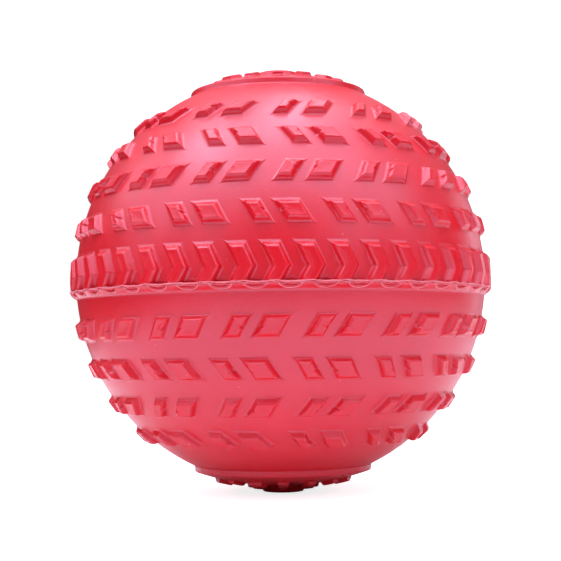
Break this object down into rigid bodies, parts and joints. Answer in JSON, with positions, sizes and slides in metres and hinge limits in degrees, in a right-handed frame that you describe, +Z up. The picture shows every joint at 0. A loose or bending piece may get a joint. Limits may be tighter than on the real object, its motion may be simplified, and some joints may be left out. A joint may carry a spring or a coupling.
{
  "type": "slam ball",
  "caption": "Round tread-textured soft ball with paired slanted lugs, a chevron band, domed polar discs, a sand ballast and a pull-out filling plug.",
  "frame": {"origin": "centre of the ball, at the centre of its bounding box", "axes": "+Z up along the moulding axis, from the flat hub that it rests on to the hub with the filling plug; the joint between the covers lies across Z; -Y is the front"},
  "size_m": [0.23, 0.23, 0.23],
  "materials": {
    "cover": "soft semi-gloss vinyl",
    "bead": "thin ragged weld, paler than the cover",
    "liner": "thin plain bladder skin",
    "sand": "dry loose sand",
    "bush": "moulded nylon",
    "plug": "moulded nylon, satin",
    "seal": "flat washer"
  },
  "bodies": {
    "ball": {"upper_cover": "cover", "lower_cover": "cover", "weld_bead": "bead", "liner": "liner", "sand_ballast": "sand", "filler_bush": "bush"},
    "plug": {"filler_plug": "plug", "plug_seal": "seal"}
  },
  "joints": [
    {"name": "plug_pull", "type": "slide", "parent": "ball", "child": "plug", "axis": [0, 0, 1], "range_m": [0, 0.03]}
  ]
}
